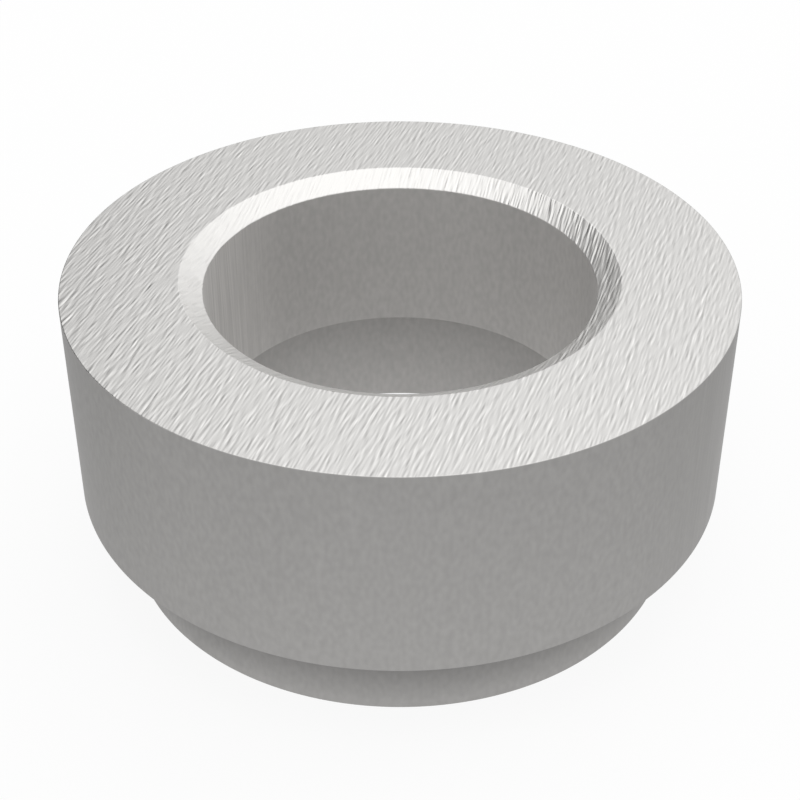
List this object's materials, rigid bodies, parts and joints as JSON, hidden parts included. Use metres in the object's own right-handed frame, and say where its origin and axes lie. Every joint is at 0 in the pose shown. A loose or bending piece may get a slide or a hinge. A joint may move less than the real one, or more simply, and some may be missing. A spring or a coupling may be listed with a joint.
{
  "type": "oxygen sensor bung",
  "caption": "Stepped steel weld-in ring for an exhaust pipe: a thick collar over a narrower pilot, with a countersunk threaded bore that takes an oxygen sensor.",
  "frame": {"origin": "centre of the pilot's end face, which the bung stands on", "axes": "+Z along the bore, from the pilot up to the sealing face; X and Y are free, as the part is round"},
  "size_m": [0.028, 0.028, 0.0132],
  "materials": {
    "turned_steel": "satin turned walls, with a straight brushed grain across the sealing face and the countersink"
  },
  "bodies": {
    "root": {"weld_bung": "turned_steel"}
  },
  "joints": []
}
